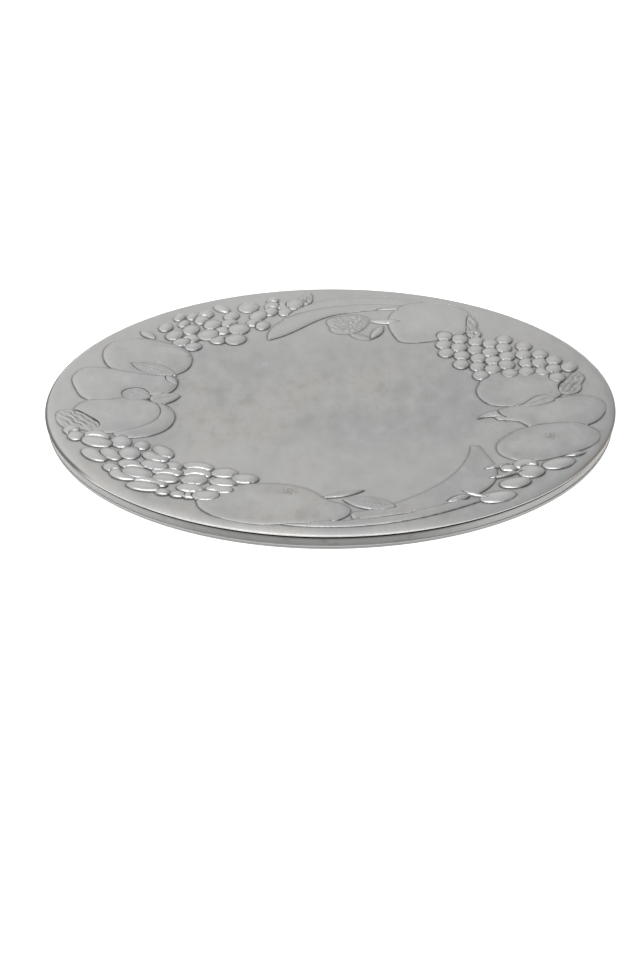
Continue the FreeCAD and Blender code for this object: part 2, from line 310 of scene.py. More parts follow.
class Place:
    """Where a piece's points lie in it. A border shared with a neighbour counts as inside by
    the seam, so the piece dips there but doesn't fall to the flat."""

    def __init__(self, edge, shared, points, faces, seam, seed):
        joined = shared & np.roll(shared, -1)
        self.points = points
        self.edge = edge
        self.seed = seed
        free = distance_to(edge, points, ~joined)
        self.from_seam = distance_to(edge, points, joined)
        self.from_border = np.minimum(free, self.from_seam)
        self.depth = np.minimum(free, self.from_seam + seam)
        near = self.from_border < NEAR_BORDER
        self.share = relaxed(self.depth / self.depth.max(), faces, near, SMOOTHING_ROUNDS)
        rise = np.minimum(free, self.from_seam + 4 * seam)
        self.crown = relaxed(rounded(rise / rise.max()), faces, near, CROWN_SMOOTHING_ROUNDS)

    def shoulder(self, width):
        """Rises from 0 at a free border to 1 at the given width inside it, ever less steeply."""
        return rounded(np.clip(self.depth / width, 0, 1))

    def waves(self, size, number=0):
        """An uneven value like that of waves(), of this piece's own."""
        return waves(self.points, size, self.seed + number)

    def long_and_cross(self):
        """Each point's place along the piece's long axis and across it."""
        middle = self.edge.mean(axis=0)
        _, axes = np.linalg.eigh(np.cov((self.edge - middle).T))
        along = axes[:, 1] if axes[0, 1] > 0 else -axes[:, 1]
        across = np.array([-along[1], along[0]])
        return (self.points - middle) @ along, (self.points - middle) @ across


def fruit_form(p):
    """A low cushion: a rounded edge and a slightly crowned, hand-worked top."""
    edge = 0.16 * p.shoulder(0.35 * MM)
    slope = 0.48 * p.shoulder(3.6 * MM)
    crown = 0.30 * p.crown
    uneven = 0.04 * np.clip(p.depth / (3 * MM), 0, 1) * p.waves(15 * MM)
    return edge + slope + crown + uneven


def grape_form(p):
    """A bead with a flattened top."""
    edge = 0.12 * p.shoulder(0.25 * MM)
    slope = 0.20 * p.shoulder(1.6 * MM)
    dome = 0.64 * rounded(p.share)
    return edge + slope + dome


def banana_form(p):
    """A blunt ridge along the middle, between two flat flanks."""
    edge = 0.12 * p.shoulder(0.3 * MM)
    slope = 0.36 * p.shoulder(2.2 * MM)
    ridge = 0.42 * p.share ** 0.9
    uneven = 0.02 * p.share * p.waves(9 * MM)
    return edge + slope + ridge + uneven


def leaf_form(p):
    """A thin blade with a sunk midrib and side veins."""
    u, v = p.long_and_cross()
    edge = 0.15 * p.shoulder(0.25 * MM)
    slope = 0.55 * p.shoulder(1.4 * MM)
    middle = 0.26 * p.share
    midrib = 0.20 * p.share * notch(v, 0.45 * MM)
    slanted = u - 0.9 * np.abs(v)
    veins = 0.10 * p.share * (0.5 + 0.5 * np.cos(2 * math.pi * slanted / (2.6 * MM))) ** 3
    uneven = 0.05 * p.share * p.waves(6 * MM)
    return edge + slope + middle - midrib - veins + uneven


def petal_form(p):
    """A small soft petal."""
    edge = 0.06 * p.shoulder(0.25 * MM)
    dome = 0.36 * rounded(p.share)
    uneven = 0.10 * p.share * p.waves(4 * MM)
    return edge + dome + uneven


def stem_form(p):
    """A round stalk with a few notches across it."""
    u, _ = p.long_and_cross()
    edge = 0.15 * p.shoulder(0.25 * MM)
    dome = 0.78 * rounded(p.share)
    notches = 0.05 * p.share * np.sin(2 * math.pi * u / (2.9 * MM) + p.seed)
    return edge + dome + notches


def folded_form(p):
    """A curled leaf: a few sharp, wavering folds that run along it."""
    u, v = p.long_and_cross()
    edge = 0.10 * p.shoulder(0.3 * MM)
    slope = 0.16 * p.shoulder(1.4 * MM)
    middle = 0.14 * p.share
    wavering = v + 0.9 * MM * p.waves(7 * MM) + 0.12 * u
    folds = 1 - np.abs(np.sin(math.pi * wavering / (3.4 * MM)))
    broken = 0.62 + 0.38 * p.waves(5 * MM, 1)
    return edge + slope + middle + 0.78 * np.sqrt(p.share) * folds * broken


def crumpled_form(p):
    """A knobbly stalk: uneven, broken ridges that run along it."""
    u, v = p.long_and_cross()
    edge = 0.12 * p.shoulder(0.3 * MM)
    slope = 0.16 * p.shoulder(1.2 * MM)
    middle = 0.06 * p.share
    drawn_out = np.column_stack([0.40 * u, v])
    ridges = 0.64 * (1 - 1.4 * np.abs(waves(drawn_out, 3.4 * MM, p.seed)))
    lumps = 0.20 * p.waves(5.0 * MM, 1)
    return edge + slope + middle + np.sqrt(p.share) * (ridges + lumps)


def blossom_form(p):
    """A flat cluster of small soft buds, which fades out at its border."""
    slope = 0.30 * p.shoulder(4 * MM)
    buds = 0.65 * np.abs(p.waves(4.4 * MM) * p.waves(5.6 * MM, 1)) ** 0.7
    return slope + p.shoulder(5 * MM) * buds


# A kind of ornament: its form, how far apart its mesh's inner points are, its seam, and how
# dark its hollows and its borders are, with patina and painted shade
Kind = namedtuple("Kind", "form spacing seam hollow_patina border_patina")
GRAPES = Kind(grape_form, 0.7 * MM, 0.55 * MM, 0.4, 1.0)
FRUIT = Kind(fruit_form, 0.9 * MM, 1.5 * MM, 0.4, 1.0)
BANANA = Kind(banana_form, 0.9 * MM, 1.3 * MM, 0.4, 1.0)
LEAF = Kind(leaf_form, 0.4 * MM, 0.7 * MM, 0.4, 1.0)
CRUMPLED = Kind(crumpled_form, 0.4 * MM, 0.5 * MM, 0.4, 1.0)
FOLDED = Kind(folded_form, 0.35 * MM, 0.5 * MM, 0.75, 0.8)
STEM = Kind(stem_form, 0.4 * MM, 0.5 * MM, 0.4, 1.0)
PETAL = Kind(petal_form, 0.5 * MM, 0.5 * MM, 0.4, 0.6)
BLOSSOM = Kind(blossom_form, 0.4 * MM, 0.5 * MM, 0.5, 0.2)
ORNAMENTS = {
    "front_left_grapes": GRAPES,
    "rear_left_grapes": GRAPES,
    "rear_right_grapes": GRAPES,
    "nuts": GRAPES,
    "left_apple": FRUIT,
    "right_apple": FRUIT,
    "right_pear": FRUIT,
    "right_rear_apple": FRUIT,
    "rear_pomegranate": FRUIT,
    "left_pear": FRUIT,
    "left_peach": FRUIT,
    "front_pear": FRUIT,
    "front_banana_inner": BANANA,
    "front_banana_outer": BANANA,
    "rear_banana_inner": BANANA,
    "rear_banana_outer": BANANA,
    "left_apple_leaf": LEAF,
    "left_leaves": LEAF,
    "front_pear_leaves": LEAF,
    "rear_leaf": PETAL,
    "vine_leaf": FOLDED,
    "curled_leaf": FOLDED,
    "grape_stalks": CRUMPLED,
    "right_blossom": LEAF,
    "rear_blossom": BLOSSOM,
    "left_apple_stem": STEM,
    "left_pear_calyx": STEM,
    "nut_stems": STEM,
    "right_pear_stem": STEM,
    "pomegranate_crown": STEM,
}

# The pieces that are polished smoother, and painted a lighter colour that makes their highlights brighter
BRIGHT = ("nuts", "nut_stems", "right_pear_stem", "pomegranate_crown")

# Small marks cut into fruit: how far along the node's box in X and in Y each one is
CALYX_MARKS = {
    "right_apple": (0.53, 0.60),
    "front_pear": (0.60, 0.75),
}
CALYX_RADIUS = 3.2 * MM
CALYX_REACH = 2 * CALYX_RADIUS
CALYX_SPACING = 0.35 * MM
CALYX_CUT = 0.35 * MM
CALYX_POINTS = 5
CALYX_TWIST = 6.0  # radians that the points turn by over the radius
# The calyx cut is darkened with patina and painted shade.
CALYX_PATINA = 0.8


def relief_points(edge, spacing, mark):
    """The outline, rings a little inside it where there is room, and a grid over the rest."""
    normals = inward_normals(edge)
    layers = [edge]
    for offset in INNER_RINGS:
        ring = edge + normals * offset
        layers.append(ring[inside(edge, ring) & (distance_to(edge, ring) > 0.93 * offset)])
    grid = staggered_grid(edge.min(axis=0), edge.max(axis=0), spacing)
    grid = grid[inside(edge, grid)]
    grid = grid[distance_to(edge, grid) > INNER_RINGS[-1] + 0.4 * spacing]
    if mark is not None:
        grid = grid[np.hypot(*(grid - mark).T) > CALYX_REACH]
        fine = staggered_grid(mark - CALYX_REACH, mark + CALYX_REACH, CALYX_SPACING)
        layers.append(fine[np.hypot(*(fine - mark).T) < CALYX_REACH])
    layers.append(grid)
    return np.concatenate(layers)


def calyx_cut(points, mark):
    """How deep a small calyx, a twisted star, is cut at each point."""
    x, y = (points - mark).T
    radius = np.hypot(x, y)
    turned = CALYX_POINTS * np.arctan2(y, x) + CALYX_TWIST * radius / CALYX_RADIUS
    return CALYX_CUT * notch(radius, CALYX_RADIUS) * (0.5 + 0.5 * np.cos(turned))


def relief_patina_and_shade(place, rise, faces, kind):
    """How dark each point is with patina and painted shade: along the piece's border and in its hollows.
    """
    dark_width = min(DARK_WIDTH, DARK_SHARE * place.from_border.max())
    by_border = 1 - smooth_step(place.from_border, 0.1 * dark_width, dark_width)
    hollow = relaxed(rise, faces, place.depth <= ON_BORDER, HOLLOW_ROUNDS) - rise
    in_hollow = smooth_step(hollow, HOLLOW_START, HOLLOW_END)
    return np.maximum(kind.border_patina * by_border, kind.hollow_patina * in_hollow)


def skirted(top, faces):
    """A patch's vertices with those of a skirt down from its border, and closed faces."""
    border = open_borders(faces)[0]
    skirt = top[border] * (1, 1, 0) + (0, 0, FLAT_TOP - SKIRT)
    first = len(top)
    count = len(border)
    sides = [(border[(i + 1) % count], border[i], first + i, first + (i + 1) % count)
             for i in range(count)]
    bottom = tuple(range(first + count - 1, first - 1, -1))
    return np.concatenate([top, skirt]), faces + sides + [bottom]


def relief_piece(edge, shared, height, kind, mark, seed):
    """One closed piece of relief: its vertices, its faces and each vertex's share of patina and painted
    shade.
    """
    flat, faces = triangulated(relief_points(edge, kind.spacing, mark), len(edge))
    place = Place(edge, shared, flat, faces, kind.seam, seed)
    rise = height * np.clip(kind.form(place), 0, 1) - SEAM_CUT * notch(place.from_seam, SEAM_WIDTH)
    rise *= place.depth > ON_BORDER
    patina = relief_patina_and_shade(place, rise, faces, kind)
    if mark is not None:
        cut = calyx_cut(flat, mark)
        rise -= cut
        patina = np.maximum(patina, CALYX_PATINA * cut / CALYX_CUT)
    top = np.column_stack([flat, FLAT_TOP + np.maximum(rise, 0)])
    vertices, faces = skirted(top, faces)
    return vertices, faces, np.concatenate([patina, np.ones(len(vertices) - len(top))])


def make_object(name, vertices, faces, attributes, material, node):
    """A smooth-shaded mesh object that stands for a CAD node, with its vertex attributes."""
    mesh = bpy.data.meshes.new(name)
    mesh.from_pydata([tuple(v) for v in vertices], [], faces)
    for attribute_name, values in attributes.items():
        attribute = mesh.attributes.new(attribute_name, "FLOAT", "POINT")
        attribute.data.foreach_set("value", np.asarray(values, np.float32))
    work = bmesh.new()
    work.from_mesh(mesh)
    bmesh.ops.recalc_face_normals(work, faces=work.faces)
    for face in work.faces:
        face.smooth = True
    for edge in work.edges:
        edge.smooth = edge.calc_face_angle(0) < SHARP_EDGE
    work.to_mesh(mesh)
    work.free()
    piece = bpy.data.objects.new(name, mesh)
    bpy.context.scene.collection.objects.link(piece)
    piece.data.materials.append(material)
    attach(piece, "root")
    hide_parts(node)


def meets_neighbour(edges):
    """For each outline, which of its points another piece touches."""
    fine = [points_along(closed(edge), TOUCH_SPACING) for edge in edges]
    owners = np.repeat(np.arange(len(fine)), [len(points) for points in fine])
    tree = tree_of(np.concatenate(fine))

    def touched(x, y, number):
        return any(owners[other] != number for _, other, _ in tree.find_range((x, y, 0), TOUCH))

    return [np.array([touched(x, y, number) for x, y in edge.tolist()])
            for number, edge in enumerate(edges)]


def mark_on(node):
    """Where a node's calyx mark is, or None."""
    if node not in CALYX_MARKS:
        return None
    low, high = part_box(node)
    x, y = CALYX_MARKS[node]
    return np.array([low.x + x * (high.x - low.x), low.y + y * (high.y - low.y)])


def ornament(node, borders, material, seed):
    """All pieces of one CAD node as one object, from their outlines and what touches them."""
    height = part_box(node)[1].z - FLAT_TOP
    vertices = []
    faces = []
    patina = []
    for number, (edge, shared) in enumerate(borders):
        piece, piece_faces, piece_patina = relief_piece(
            edge, shared, height, ORNAMENTS[node], mark_on(node), seed + 10 * number)
        first = len(vertices)
        vertices.extend(piece.tolist())
        faces.extend(tuple(first + i for i in face) for face in piece_faces)
        patina.extend(piece_patina.tolist())
    make_object(node + "_relief", vertices, faces, {"patina": patina}, material, node)


# The disc

def round_pieces(outlines, offset):
    """Points at one distance outside every outline."""
    rings = []
    for outline in outlines:
        edge = evenly_spaced(outline, OUTER_SPACING)
        rings.append(edge - inward_normals(edge) * offset)
    return np.concatenate(rings)


def covered(points, outlines):
    """Which points lie under a piece of relief, further in than the underlap."""
    found = np.zeros(len(points), bool)
    for outline in outlines:
        near = ((points >= outline.min(axis=0)) & (points <= outline.max(axis=0))).all(axis=1)
        near = np.flatnonzero(near)
        edge = points_along(closed(outline), OUTLINE_SPACING)
        found[near[inside(edge, points[near]) & (distance_to(edge, points[near]) > UNDERLAP)]] = True
    return found


def thinned(points, closest):
    """The points less those that come closer than that to an earlier one."""
    tree = tree_of(points)
    dropped = np.zeros(len(points), bool)
    for number, (x, y) in enumerate(points.tolist()):
        if not dropped[number]:
            for _, other, _ in tree.find_range((x, y, 0), closest):
                dropped[other] |= other > number
    return points[~dropped]


def flat_points(outlines, circle):
    """Points over the flat top: dense round the relief, sparse in the middle."""
    layers = [round_pieces(outlines, offset) for offset in OUTER_RINGS]
    for inner, outer, spacing in ((0.0, SPARSE_RADIUS, SPARSE_SPACING),
                                  (SPARSE_RADIUS, FLAT_RADIUS, FLAT_SPACING)):
        grid = staggered_grid((-outer, -outer), (outer, outer), spacing)
        radius = np.hypot(*grid.T)
        layers.append(grid[(radius >= inner) & (radius < outer)])
    points = np.concatenate(layers)
    points = points[np.hypot(*points.T) < FLAT_RADIUS - CIRCLE_CLEARANCE]
    points = points[~covered(points, outlines)]
    return np.concatenate([circle, thinned(points, CLOSEST)])


def flat_heights(flat, gap):
    """The flat top's height: gently uneven, and sunk in a fine groove round each piece."""
    calm = np.clip((FLAT_RADIUS - np.hypot(*flat.T)) / CALM_WIDTH, 0, 1)
    uneven = 0.016 * MM * waves(flat, 30 * MM, 5) + 0.004 * MM * waves(flat, 9 * MM, 6)
    groove = GROOVE_ROUND_PIECES * notch(gap, GROOVE_WIDTH)
    return FLAT_TOP - SINK + calm * (uneven - groove)


def between_rows(first, second):
    """The faces between two rows of vertices that turn round Z, given each row's first one."""
    after = [(column + 1) % TURNED_SEGMENTS for column in range(TURNED_SEGMENTS)]
    return [(first + here, first + there, second + there, second + here)
            for here, there in enumerate(after)]


def turned_faces(row_count, first):
    """The faces between rows of vertices that turn round Z and follow each other."""
    starts = [first + row * TURNED_SEGMENTS for row in range(row_count)]
    return [face for start, end in zip(starts, starts[1:]) for face in between_rows(start, end)]


def turned_vertices(profile):
    """A row of vertices round Z for each radius and height of a profile."""
    angles = np.linspace(0, 2 * math.pi, TURNED_SEGMENTS, endpoint=False)
    return [(radius * math.cos(a), radius * math.sin(a), z) for radius, z in profile for a in angles]


def arc_points(middle, radius, start, end, count):
    """Points on an arc from one angle to another, in degrees."""
    angles = np.radians(np.linspace(start, end, count))
    return [(middle[0] + radius * math.cos(a), middle[1] + radius * math.sin(a)) for a in angles]


def disc_edge_profile():
    """From the flat's border down the falling edge, round the lip and back under to the step."""
    flat_z = FLAT_TOP - SINK
    lip = (PLATE_RADIUS - LIP_RADIUS, GROOVE_TOP + LIP_RADIUS)
    across = lip[0] - FLAT_RADIUS
    fall = flat_z - (lip[1] + LIP_RADIUS)
    edge_radius = (across ** 2 + fall ** 2) / (2 * fall) + LIP_RADIUS
    slope = math.degrees(math.asin(across / (edge_radius - LIP_RADIUS)))
    profile = arc_points((FLAT_RADIUS, flat_z - edge_radius), edge_radius, 90, 90 - slope, 9)
    profile += arc_points(lip, LIP_RADIUS, 90 - slope, -90, 12)[1:]
    return profile + [(STEP_RADIUS, GROOVE_TOP), (STEP_RADIUS, DISC_BOTTOM)]


def plate_disc(outlines, material):
    """The casting: an uneven flat top, a rounded lip, the groove and a turned underside."""
    profile = disc_edge_profile()
    angles = np.linspace(0, 2 * math.pi, TURNED_SEGMENTS, endpoint=False)
    circle = profile[0][0] * np.stack([np.cos(angles), np.sin(angles)], axis=1)
    flat, faces = triangulated(flat_points(outlines, circle), TURNED_SEGMENTS)
    edges = tree_of(np.concatenate([evenly_spaced(outline, GAP_SPACING) for outline in outlines]))
    gap = np.array([edges.find((x, y, 0))[2] for x, y in flat.tolist()])
    top = np.column_stack([flat, flat_heights(flat, gap)])
    # A dark line on the flat round each piece: patina and a painted contact shadow.
    patina = notch(gap, DARK_ON_FLAT).tolist()
    underside = [0.0] * len(top)

    rows = profile[1:] + [(STEP_RADIUS * share, DISC_BOTTOM) for share in UNDERSIDE_RINGS]
    for radius, z in rows:
        # Rows in the groove under the lip are marked for painted shade.
        in_groove = radius < PLATE_RADIUS - 0.3 * MM and z < GROOVE_TOP + 0.2 * MM
        is_under = radius < STEP_RADIUS + 0.1 * MM and z < DISC_BOTTOM + 0.1 * MM
        patina += [float(in_groove and not is_under)] * TURNED_SEGMENTS
        underside += [float(is_under)] * TURNED_SEGMENTS

    first = len(top)
    last = first + (len(rows) - 1) * TURNED_SEGMENTS
    faces += between_rows(0, first) + turned_faces(len(rows), first)
    faces.append(tuple(range(last, last + TURNED_SEGMENTS)))
    make_object("plate_disc_cast", top.tolist() + turned_vertices(rows), faces,
                {"patina": patina, "underside": underside}, material, "plate_disc")


# The foot ring

def foot_ring_profile():
    """The ring's section, round from the inside foot by the wall and the bead to the top."""
    inner = RING_RADIUS - RING_WIDTH
    foot = RING_RADIUS - RING_TAPER

    def wall(z):
        return foot + RING_TAPER * z / RING_TOP

    profile = [(inner, RING_CHAMFER), (inner + RING_CHAMFER, TABLE), (foot - RING_CORNER, TABLE)]
    profile += arc_points((foot - RING_CORNER, RING_CORNER), RING_CORNER, -90, 0, 7)[1:]
    below_bead = BEAD_HEIGHT - BEAD_RADIUS - 0.2 * MM
    profile.append((wall(below_bead), below_bead))
    profile += arc_points((wall(BEAD_HEIGHT), BEAD_HEIGHT), BEAD_RADIUS, -90, 90, 9)
    for number in range(1, TURNINGS + 1):
        z = BEAD_HEIGHT + BEAD_RADIUS + number * TURNING_PITCH
        cut = TURNING_CUT if number % 2 else 0
        profile.append((wall(z) - cut, z))
    shoulder = (RING_RADIUS - RING_SHOULDER, RING_TOP - RING_SHOULDER)
    profile += arc_points(shoulder, RING_SHOULDER, 0, 90, 5)
    return profile + [(inner + RING_CHAMFER, RING_TOP), (inner, RING_TOP - RING_CHAMFER)]


def foot_ring(material):
    """The turned ring under the edge, with its fine bead, and painted shade near the lip above it."""
    profile = foot_ring_profile()
    last = (len(profile) - 1) * TURNED_SEGMENTS
    faces = turned_faces(len(profile), 0) + between_rows(last, 0)
    heights = np.array([z for _, z in profile])
    # Painted shade: the ring's top under the lip is marked to be painted dark.
    shade_under_lip = np.clip(1.3 - (RING_TOP - heights) / (0.8 * MM), 0, 1)
    make_object("foot_ring_turned", turned_vertices(profile), faces,
                {"patina": np.repeat(shade_under_lip, TURNED_SEGMENTS)}, material, "foot_ring")


# Materials

class Shading:
    """One material's node tree, with short ways to add its nodes."""

    def __init__(self, name):
        self.material = bpy.data.materials.new(name)
        self.material.use_nodes = True
        self.nodes = self.material.node_tree.nodes
        self.links = self.material.node_tree.links
        self.shader = self.nodes["Principled BSDF"]
        self.place = self.nodes.new("ShaderNodeTexCoord").outputs["Object"]

    def put(self, node, key, value):
        """Gives a node's input a plain value or links another node's output to it."""
        if isinstance(value, bpy.types.NodeSocket):
            self.links.new(value, node.inputs[key])
        else:
            node.inputs[key].default_value = value

    def math(self, operation, first, second):
        """The result of one operation on two values."""
        node = self.nodes.new("ShaderNodeMath")
        node.operation = operation
        self.put(node, 0, first)
        self.put(node, 1, second)
        return node.outputs[0]

    def noise(self, size, detail=3.0, place=None):
        """Soft noise whose spots are about that size in metres."""
        node = self.nodes.new("ShaderNodeTexNoise")
        self.put(node, "Vector", place or self.place)
        self.put(node, "Scale", 1 / size)
        self.put(node, "Detail", detail)
        return node.outputs["Fac"]

    def stretched(self, turn, scale):
        """The place, turned about Z and scaled."""
        node = self.nodes.new("ShaderNodeMapping")
        self.put(node, "Vector", self.place)
        self.put(node, "Rotation", (0, 0, turn))
        self.put(node, "Scale", scale)
        return node.outputs["Vector"]

    def ramp(self, value, start, end, low=0.0, high=1.0):
        """Goes smoothly from low to high as the value goes from start to end."""
        node = self.nodes.new("ShaderNodeMapRange")
        node.interpolation_type = "SMOOTHSTEP"
        for key, setting in (("Value", value), ("From Min", start), ("From Max", end),
                             ("To Min", low), ("To Max", high)):
            self.put(node, key, setting)
        return node.outputs["Result"]

    def mix(self, share, first, second):
        """A colour that goes from the first to the second as the share goes from 0 to 1."""
        node = self.nodes.new("ShaderNodeMix")
        node.data_type = "RGBA"
        for key, setting in ((0, share), (6, first), (7, second)):
            self.put(node, key, setting)
        return node.outputs[2]

    def bump(self, height, distance, strength, normal=None):
        """A normal roughened by a height, on top of another normal if one is given."""
        node = self.nodes.new("ShaderNodeBump")
        for key, setting in (("Height", height), ("Distance", distance), ("Strength", strength)):
            self.put(node, key, setting)
        if normal:
            self.put(node, "Normal", normal)
        return node.outputs["Normal"]

    def attribute(self, name):
        """A value stored at the mesh's vertices."""
        node = self.nodes.new("ShaderNodeAttribute")
        node.attribute_name = name
        return node.outputs["Fac"]

    def radius(self):
        """The distance from the plate's axis."""
        x_squared = self.math("MULTIPLY", self.along("X"), self.along("X"))
        y_squared = self.math("MULTIPLY", self.along("Y"), self.along("Y"))
        return self.math("SQRT", self.math("ADD", x_squared, y_squared), 0)

    def along(self, axis):
        """The place along X, Y or Z."""
        parts = self.nodes.new("ShaderNodeSeparateXYZ")
        self.put(parts, "Vector", self.place)
        return parts.outputs[axis]

    def turning(self, coordinate, pitch):
        """Fine uneven rings round the axis, which follow one coordinate."""
        node = self.nodes.new("ShaderNodeTexNoise")
        node.noise_dimensions = "1D"
        self.put(node, "W", self.math("DIVIDE", coordinate, pitch))
        self.put(node, "Scale", 1.0)
        self.put(node, "Detail", 4.0)
        return node.outputs["Fac"]

    def scratches(self, turn, seed_shift):
        """Thin, faint, broken lines in one direction."""
        lines = self.noise(1.0, 1.0, self.stretched(turn, (18, 800, 18)))
        patches = self.noise(35 * MM, 1.0, self.stretched(turn + seed_shift, (1, 1, 1)))
        return self.math("MULTIPLY", self.ramp(lines, 0.68, 0.78), self.ramp(patches, 0.5, 0.62))

    def finish(self, colour, roughness, normal):
        """Gives the shader its colour, roughness and normal as a bare metal."""
        self.put(self.shader, "Base Color", colour)
        self.put(self.shader, "Metallic", 1.0)
        self.put(self.shader, "Roughness", roughness)
        self.put(self.shader, "Normal", normal)
        return self.material


def grey(level, warmth=0.0):
    """A metal's colour: its red and blue move apart with its warmth."""
    return (level * (1 + warmth), level, level * (1 - 1.6 * warmth), 1)


def cast_metal(name, level, roughness):
    """Satin cast metal: soft mottling, fine grain, pits, faint scratches, a painted sheen towards -X and
    +Y, and dark crevices of patina and painted shade.
    """
    s = Shading(name)
    drawn_out = s.stretched(0.0, (1, 0.5, 1))
    broad = s.noise(45 * MM, 4.0, drawn_out)
    blotches = s.noise(8 * MM, 4.0, drawn_out)
    grain = s.noise(0.6 * MM, 2.0)
    pits = s.ramp(s.noise(1.8 * MM, 2.0), 0.68, 0.80)
    lines = s.math("MAXIMUM", s.scratches(0.35, 1.0), s.scratches(1.9, 2.0))

    tone = s.mix(s.ramp(broad, 0.35, 0.65), grey(level * 1.05, 0.016), grey(level * 0.95, -0.008))
    tone = s.mix(s.ramp(blotches, 0.50, 0.74, 0.0, 0.6), tone, grey(level * 0.82, 0.016))
    tone = s.mix(s.ramp(blotches, 0.50, 0.28, 0.0, 0.6), tone, grey(level * 1.12, -0.008))
    smudges = s.noise(3.5 * MM, 3.0, s.stretched(0.9, (1, 0.6, 1)))
    tone = s.mix(s.ramp(smudges, 0.55, 0.72, 0.0, 0.4), tone, grey(level * 0.84, 0.03))
    # Painted sheen: the metal is painted lighter towards -X and towards +Y, where the light falls
    # brighter.
    lightened = s.math("MAXIMUM", s.ramp(s.along("X"), -0.66 * PLATE_RADIUS, -0.92 * PLATE_RADIUS),
                    s.ramp(s.along("Y"), 0.10 * PLATE_RADIUS, 0.80 * PLATE_RADIUS))
    tone = s.mix(s.math("MULTIPLY", lightened, 0.65), tone, grey(level * 1.22, 0.006))
    tone = s.mix(s.math("MULTIPLY", pits, 0.3), tone, grey(level * 0.45, 0.02))
    tone = s.mix(s.math("MULTIPLY", lines, 0.35), tone, grey(level * 1.3, 0.0))
    # Dark crevices from the vertex attribute: real patina and painted shade, painted weaker towards +Y.
    crevice = s.math("MULTIPLY", s.attribute("patina"), s.ramp(s.noise(4 * MM), 0.3, 0.65, 0.50, 0.82))
    weaker_at_rear = s.ramp(s.along("Y"), 0.40 * PLATE_RADIUS, 0.75 * PLATE_RADIUS, 1.0, 0.7)
    crevice = s.math("MULTIPLY", crevice, weaker_at_rear)
    tone = s.mix(crevice, tone, grey(0.13, 0.01))

    roughened = s.ramp(blotches, 0.3, 0.7, roughness - 0.04, roughness + 0.05)
    roughened = s.math("ADD", roughened, s.math("MULTIPLY", crevice, 0.15))

    normal = s.bump(blotches, 0.10 * MM, 0.35)
    normal = s.bump(grain, 0.012 * MM, 0.6, normal)
    normal = s.bump(s.math("SUBTRACT", 1.0, s.math("MAXIMUM", lines, pits)), 0.012 * MM, 0.5, normal)
    return s, tone, roughened, normal


def relief_metal(name, level, roughness):
    """The cast metal, a little brighter where it stands highest and is rubbed."""
    s, tone, roughness, normal = cast_metal(name, level, roughness)
    lightened = s.ramp(s.along("Z"), FLAT_TOP + 1.1 * MM, FLAT_TOP + 1.8 * MM, 0.0, 0.7)
    tone = s.mix(lightened, tone, grey(0.74, 0.004))
    return s.finish(tone, roughness, normal)


def disc_metal():
    """The cast metal: a painted sheen at the front, a painted dark reflection at the left of the lip and
    browner at its right, turned below.
    """
    s, tone, roughness, normal = cast_metal("disc_metal", 0.55, 0.34)
    # Painted sheen: the front of the flat is painted lighter.
    painted_front_sheen = s.math("MULTIPLY", s.ramp(s.along("Y"), -0.20 * PLATE_RADIUS, -0.50 * PLATE_RADIUS),
                   s.ramp(s.radius(), 0.90 * PLATE_RADIUS, 0.75 * PLATE_RADIUS))
    tone = s.mix(s.math("MULTIPLY", painted_front_sheen, 0.4), tone, grey(0.66, 0.006))
    on_lip = s.ramp(s.radius(), PLATE_RADIUS - 1.8 * MM, PLATE_RADIUS - 0.7 * MM)
    # Painted dark reflection: the lip at the left is painted nearly black.
    painted_dark_reflection = s.math("MULTIPLY", on_lip, s.ramp(s.along("X"), -0.76 * PLATE_RADIUS, -0.86 * PLATE_RADIUS))
    tone = s.mix(s.math("MULTIPLY", painted_dark_reflection, 0.85), tone, grey(0.09, 0.02))
    # The lip at the right is browner.
    brown_on_right_lip = s.math("MULTIPLY", on_lip, s.ramp(s.along("X"), 0.74 * PLATE_RADIUS, 0.84 * PLATE_RADIUS))
    tone = s.mix(s.math("MULTIPLY", brown_on_right_lip, 0.6), tone, (0.36, 0.30, 0.25, 1))
    rings = s.turning(s.radius(), 0.55 * MM)
    under = s.attribute("underside")
    shade = s.ramp(rings, 0.3, 0.7, 0.0, 0.5)
    tone = s.mix(s.math("MULTIPLY", under, shade), tone, grey(0.36, 0.01))
    normal = s.bump(s.math("MULTIPLY", rings, under), 0.05 * MM, 0.6, normal)
    return s.finish(tone, roughness, normal)


